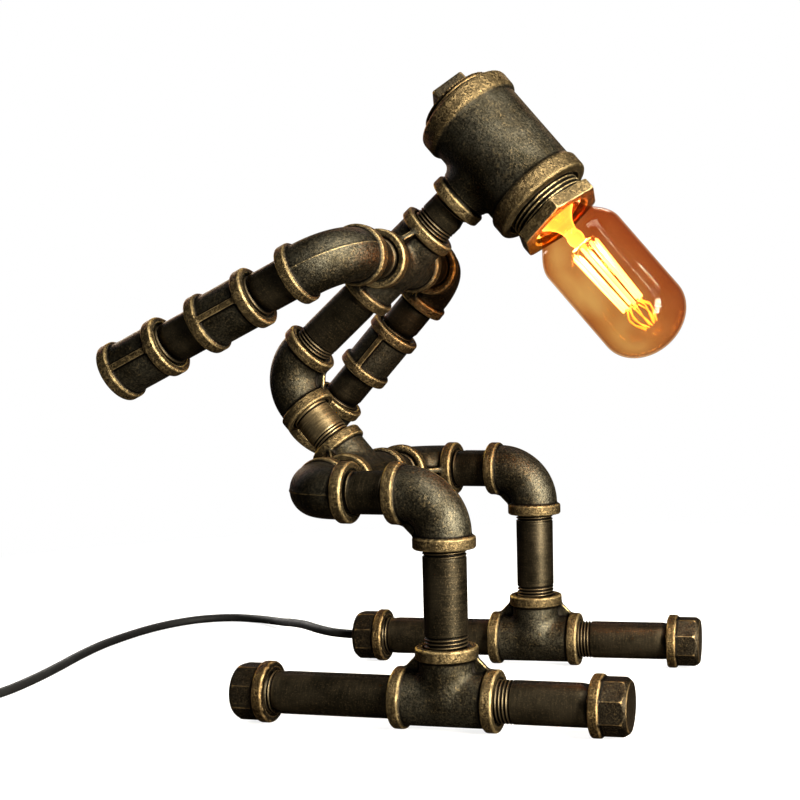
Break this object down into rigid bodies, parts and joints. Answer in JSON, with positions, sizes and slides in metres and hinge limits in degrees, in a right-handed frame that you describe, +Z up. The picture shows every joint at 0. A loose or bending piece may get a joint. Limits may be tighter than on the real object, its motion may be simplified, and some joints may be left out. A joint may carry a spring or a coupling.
{
  "type": "desk lamp",
  "caption": "Desk lamp in the shape of a standing figure built from iron pipe fittings, with arms that swing, a head that turns and a tubular filament-style bulb.",
  "frame": {"origin": "on the surface the lamp stands on, midway between the two upright shins", "axes": "+Z up, +X the way the figure faces and the bulb points, +Y its left side"},
  "size_m": [0.4371, 0.4116, 0.3277],
  "materials": {
    "iron_fittings": "worn blackened casting with bronze highlights",
    "iron_caps": "worn dark casting",
    "pipe_steel": "brown-black oiled steel",
    "bronze_nipple": "worn bronze thread",
    "holder_ceramic": "glazed ceramic insulator",
    "brass_contact": "satin",
    "amber_glass": "smooth, tinted",
    "stem_glass": "smooth",
    "filament": "coated light sticks",
    "nickel": "satin",
    "black_insulator": "glossy",
    "black_rubber": "satin",
    "black_plastic": "satin",
    "rocker_plastic": "smooth"
  },
  "bodies": {
    "root": {"foot_tee_r": "iron_fittings", "foot_tee_l": "iron_fittings", "toe_nipple_r": "pipe_steel", "toe_nipple_l": "pipe_steel", "heel_nipple_r": "pipe_steel", "heel_nipple_l": "pipe_steel", "toe_cap_r": "iron_caps", "toe_cap_l": "iron_caps", "heel_cap_r": "iron_caps", "heel_cap_l": "iron_caps", "shin_pipe_r": "pipe_steel", "shin_pipe_l": "pipe_steel", "knee_elbow_r": "iron_fittings", "knee_elbow_l": "iron_fittings", "thigh_nipple_r": "pipe_steel", "thigh_nipple_l": "pipe_steel", "hip_elbow_r": "iron_fittings", "hip_elbow_l": "iron_fittings", "hip_nipple_r": "pipe_steel", "hip_nipple_l": "pipe_steel", "hip_tee": "iron_fittings", "waist_nipple": "bronze_nipple", "back_elbow": "iron_fittings", "torso_pipe": "pipe_steel", "shoulder_cross": "iron_fittings", "shoulder_nipple_r": "pipe_steel", "shoulder_nipple_l": "pipe_steel", "neck_nipple": "pipe_steel", "lead_lower": "black_rubber", "cord_bush": "black_rubber", "cord": "black_rubber", "cord_coil": "black_rubber", "switch_housing": "black_plastic", "plug_body": "black_plastic", "plug_pins": "nickel"},
    "arm_r": {"shoulder_elbow_r": "iron_fittings", "upper_arm_nipple_r": "pipe_steel", "elbow_coupling_r": "iron_fittings", "forearm_nipple_r": "pipe_steel", "hand_coupling_r": "iron_fittings"},
    "arm_l": {"shoulder_elbow_l": "iron_fittings", "upper_arm_nipple_l": "pipe_steel", "elbow_coupling_l": "iron_fittings", "forearm_nipple_l": "pipe_steel", "hand_coupling_l": "iron_fittings"},
    "head": {"head_tee": "iron_fittings", "crown_plug": "iron_caps", "lamp_bushing": "iron_fittings", "holder_body": "holder_ceramic", "holder_shell": "brass_contact", "centre_contact": "brass_contact", "lead_upper": "black_rubber"},
    "bulb_slider": {"bulb_tip": "nickel"},
    "bulb": {"bulb_glass": "amber_glass", "bulb_cap": "nickel", "bulb_insulator": "black_insulator", "bulb_stem": "stem_glass", "bulb_filaments": "filament"},
    "rocker": {"switch_rocker": "rocker_plastic"}
  },
  "joints": [
    {"name": "arm_swing_r", "type": "hinge", "parent": "root", "child": "arm_r", "pos_m": [-0.05117, -0.0731, 0.23132], "axis": [0, 1, 0], "range_deg": [-35, 115]},
    {"name": "arm_swing_l", "type": "hinge", "parent": "root", "child": "arm_l", "pos_m": [-0.05117, 0.0731, 0.23132], "axis": [0, 1, 0], "range_deg": [-13, 137]},
    {"name": "head_turn", "type": "hinge", "parent": "root", "child": "head", "pos_m": [0.00943, 0, 0.284], "axis": [0.7547, 0, 0.6561], "range_deg": [-35, 35]},
    {"name": "bulb_travel", "type": "slide", "parent": "head", "child": "bulb_slider", "axis": [0.6561, 0, -0.7547], "range_m": [0, 0.01086]},
    {"name": "bulb_turn", "type": "hinge", "parent": "bulb_slider", "child": "bulb", "pos_m": [0.00943, 0, 0.284], "axis": [0.6561, 0, -0.7547], "range_deg": [0, 1080]},
    {"name": "switch_rock", "type": "hinge", "parent": "root", "child": "rocker", "pos_m": [-0.261, -0.131, 0.0125], "axis": [1, 0, 0], "range_deg": [-16, 0]}
  ],
  "couplings": [
    {"joint": "bulb_turn", "follows": "bulb_travel", "rad_per_m": 1735.7}
  ]
}
